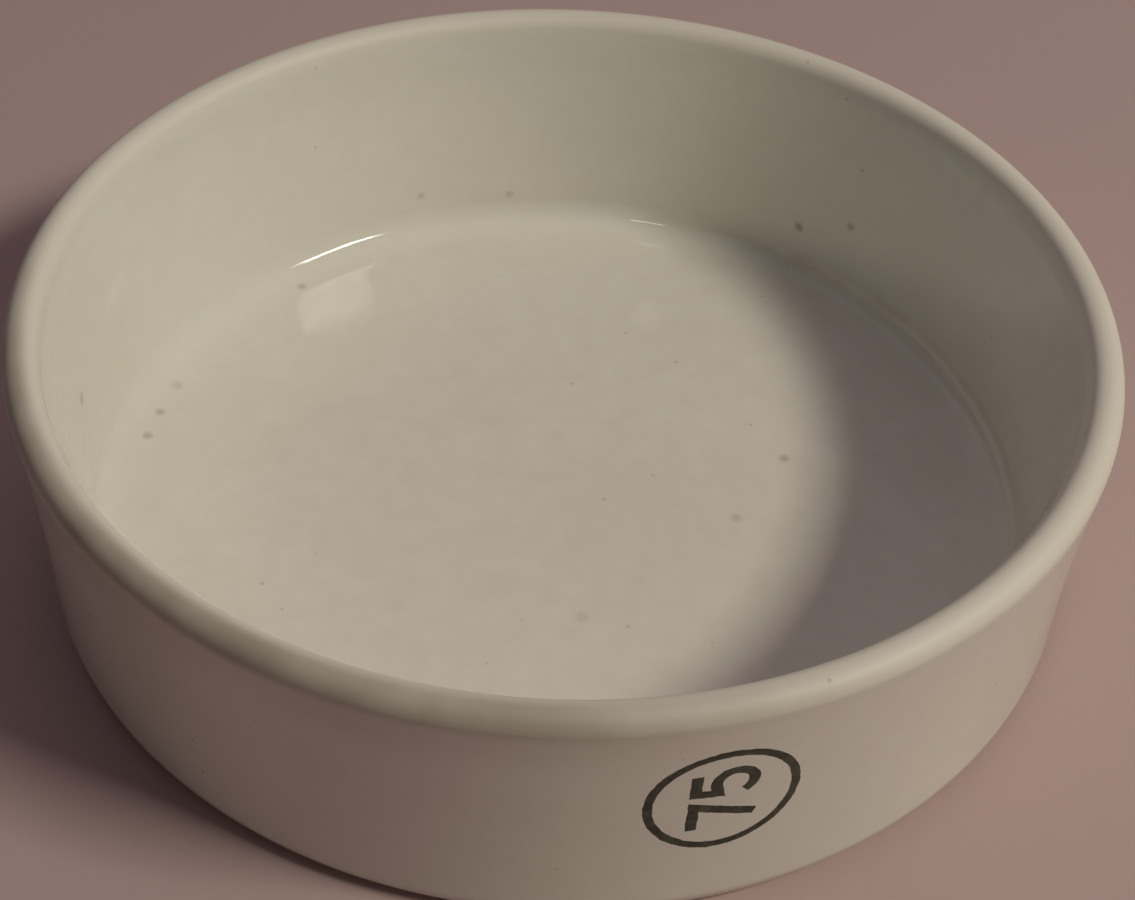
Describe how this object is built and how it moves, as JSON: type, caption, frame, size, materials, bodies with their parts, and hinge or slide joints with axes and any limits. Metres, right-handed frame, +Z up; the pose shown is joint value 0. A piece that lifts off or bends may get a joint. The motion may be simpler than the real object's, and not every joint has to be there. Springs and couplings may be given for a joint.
{
  "type": "evaporating dish",
  "caption": "Shallow flat-bottomed round laboratory dish in glazed porcelain with a rounded lip, for evaporating or ashing samples.",
  "frame": {"origin": "centre of the flat ring that the dish rests on", "axes": "+Z up along the dish's axis and out of its mouth; -Y is the front, and the size mark is a little towards +X from it"},
  "size_m": [0.075, 0.075, 0.02],
  "materials": {
    "porcelain": "bare fired porcelain, matt",
    "glaze": "glossy cream glaze",
    "ink": "dark green fired ink"
  },
  "bodies": {
    "root": {"porcelain_body": "porcelain", "glaze_coat": "glaze", "mark_ring": "ink", "mark_digit_7": "ink", "mark_digit_5": "ink"}
  },
  "joints": []
}
